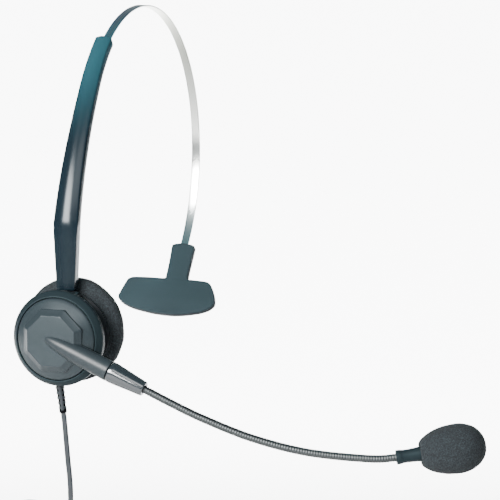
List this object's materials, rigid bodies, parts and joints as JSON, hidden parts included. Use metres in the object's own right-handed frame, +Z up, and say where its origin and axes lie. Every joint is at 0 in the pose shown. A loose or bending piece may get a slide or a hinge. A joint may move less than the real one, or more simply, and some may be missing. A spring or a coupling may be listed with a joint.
{
  "type": "office headset",
  "caption": "Over-the-head office headset with a spring band, a T-bar rest, a sliding arm, a foam-cushioned ear cup, a gooseneck microphone boom and a hanging lead with a plug.",
  "frame": {"origin": "on the underside of the band at the crown of the wearer's head, in the head's middle plane", "axes": "+Z up, -Y the way the wearer faces, the ear cup at -X and the T-bar at +X"},
  "size_m": [0.191, 0.2307, 0.3133],
  "materials": {
    "band_steel": "polished spring steel",
    "fastener_steel": "bright steel",
    "magnet_steel": "plated magnet",
    "arm_plastic": "satin to gloss dark blue-grey",
    "cup_plastic": "satin dark grey",
    "dark_plastic": "matte moulded",
    "soft_skin": "matte soft-touch",
    "foam": "open-cell black foam",
    "neck_metal": "ribbed, dark plated",
    "cord_jacket": "satin jacket",
    "contacts": "bare contacts",
    "board": "solder-masked board",
    "diaphragm": "thin film"
  },
  "bodies": {
    "headband": {"band": "band_steel", "band_slider": "dark_plastic", "t_bar": "dark_plastic", "t_bar_skin": "soft_skin", "t_bar_rivet": "fastener_steel"},
    "arm": {"arm_outer": "arm_plastic", "arm_cover": "arm_plastic", "friction_spring": "fastener_steel", "arm_screw_1": "fastener_steel", "arm_screw_2": "fastener_steel"},
    "yoke": {"yoke": "dark_plastic", "swivel_clip": "fastener_steel", "tilt_pin": "fastener_steel"},
    "ear_cup": {"cup_housing": "cup_plastic", "speaker_baffle": "dark_plastic", "baffle_screw_1": "fastener_steel", "baffle_screw_2": "fastener_steel", "baffle_screw_3": "fastener_steel", "ear_cushion": "foam", "speaker_frame": "fastener_steel", "speaker_magnet": "magnet_steel", "speaker_diaphragm": "diaphragm", "terminal_board": "board", "wave_washer": "fastener_steel", "strain_relief": "cord_jacket", "cord": "cord_jacket", "cord_coil": "cord_jacket", "cord_tie": "soft_skin", "cord_tail": "cord_jacket", "plug_boot": "cord_jacket", "plug_shell": "dark_plastic", "plug_contacts": "contacts"},
    "boom": {"boom_hub": "cup_plastic", "hub_retainer": "fastener_steel", "boom_collar": "arm_plastic", "gooseneck_rear": "neck_metal"},
    "gooseneck": {"gooseneck_middle": "neck_metal"},
    "microphone": {"gooseneck_front": "neck_metal", "mic_boot": "dark_plastic", "mic_capsule": "fastener_steel", "mic_screen": "dark_plastic", "mic_foam": "foam"}
  },
  "joints": [
    {"name": "band_slide", "type": "hinge", "parent": "headband", "child": "arm", "pos_m": [0, 0, -0.075], "axis": [0, -1, 0], "range_deg": [-7.5, 9]},
    {"name": "cup_swivel", "type": "hinge", "parent": "arm", "child": "yoke", "pos_m": [-0.09215, 0, -0.1233], "axis": [0, 0, 1], "range_deg": [-12, 12]},
    {"name": "cup_tilt", "type": "hinge", "parent": "yoke", "child": "ear_cup", "pos_m": [-0.0944, 0, -0.1254], "axis": [0, 1, 0], "range_deg": [-7, 7]},
    {"name": "boom_rotate", "type": "hinge", "parent": "ear_cup", "child": "boom", "pos_m": [-0.1105, 0, -0.144], "axis": [-1, 0, 0], "range_deg": [-30, 230]},
    {"name": "boom_bend", "type": "hinge", "parent": "boom", "child": "gooseneck", "pos_m": [-0.10612, -0.08787, -0.18132], "axis": [0.0528, -0.3421, 0.9382], "range_deg": [-25, 25]},
    {"name": "mic_bend", "type": "hinge", "parent": "gooseneck", "child": "microphone", "pos_m": [-0.09602, -0.13056, -0.19061], "axis": [0.026, -0.0904, 0.9956], "range_deg": [-25, 25]}
  ]
}
